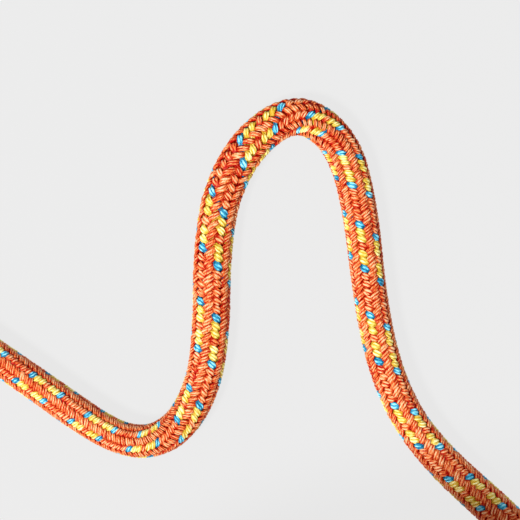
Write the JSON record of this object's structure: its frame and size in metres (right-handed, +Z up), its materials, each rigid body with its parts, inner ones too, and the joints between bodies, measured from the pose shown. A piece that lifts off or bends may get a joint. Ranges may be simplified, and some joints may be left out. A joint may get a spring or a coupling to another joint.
{
  "type": "dynamic climbing rope",
  "caption": "Kernmantle climbing rope with a braided sheath over a stranded core: an open bend and loop run from a sealed end into a neat round coil.",
  "frame": {"origin": "middle of the rope's footprint, on the surface that it lies on", "axes": "+Z up; +Y from the coil towards the laid run, and from its low bend towards the loop's top; +X from the sealed end of the laid run across the loop"},
  "size_m": [0.31, 0.428, 0.1092],
  "materials": {
    "sheath": "braided polyamide, orange with blue and yellow tracer strands",
    "core": "undyed twisted polyamide",
    "marker_tape": "thin plain film",
    "end_sleeve": "satin heat-shrink film, plain",
    "sealed_tip": "melted polyamide"
  },
  "bodies": {
    "root": {"sheath": "sheath", "core_strand_middle": "core", "core_strand_1": "core", "core_strand_2": "core", "core_strand_3": "core", "core_strand_4": "core", "core_strand_5": "core", "core_strand_6": "core", "core_strand_7": "core", "marker_tape": "marker_tape", "end_sleeve_laid": "end_sleeve", "sealed_tip_laid": "sealed_tip", "rope_coil": "sheath", "end_run_on_coil": "sheath", "end_sleeve_coil": "end_sleeve", "sealed_tip_coil": "sealed_tip"}
  },
  "joints": []
}
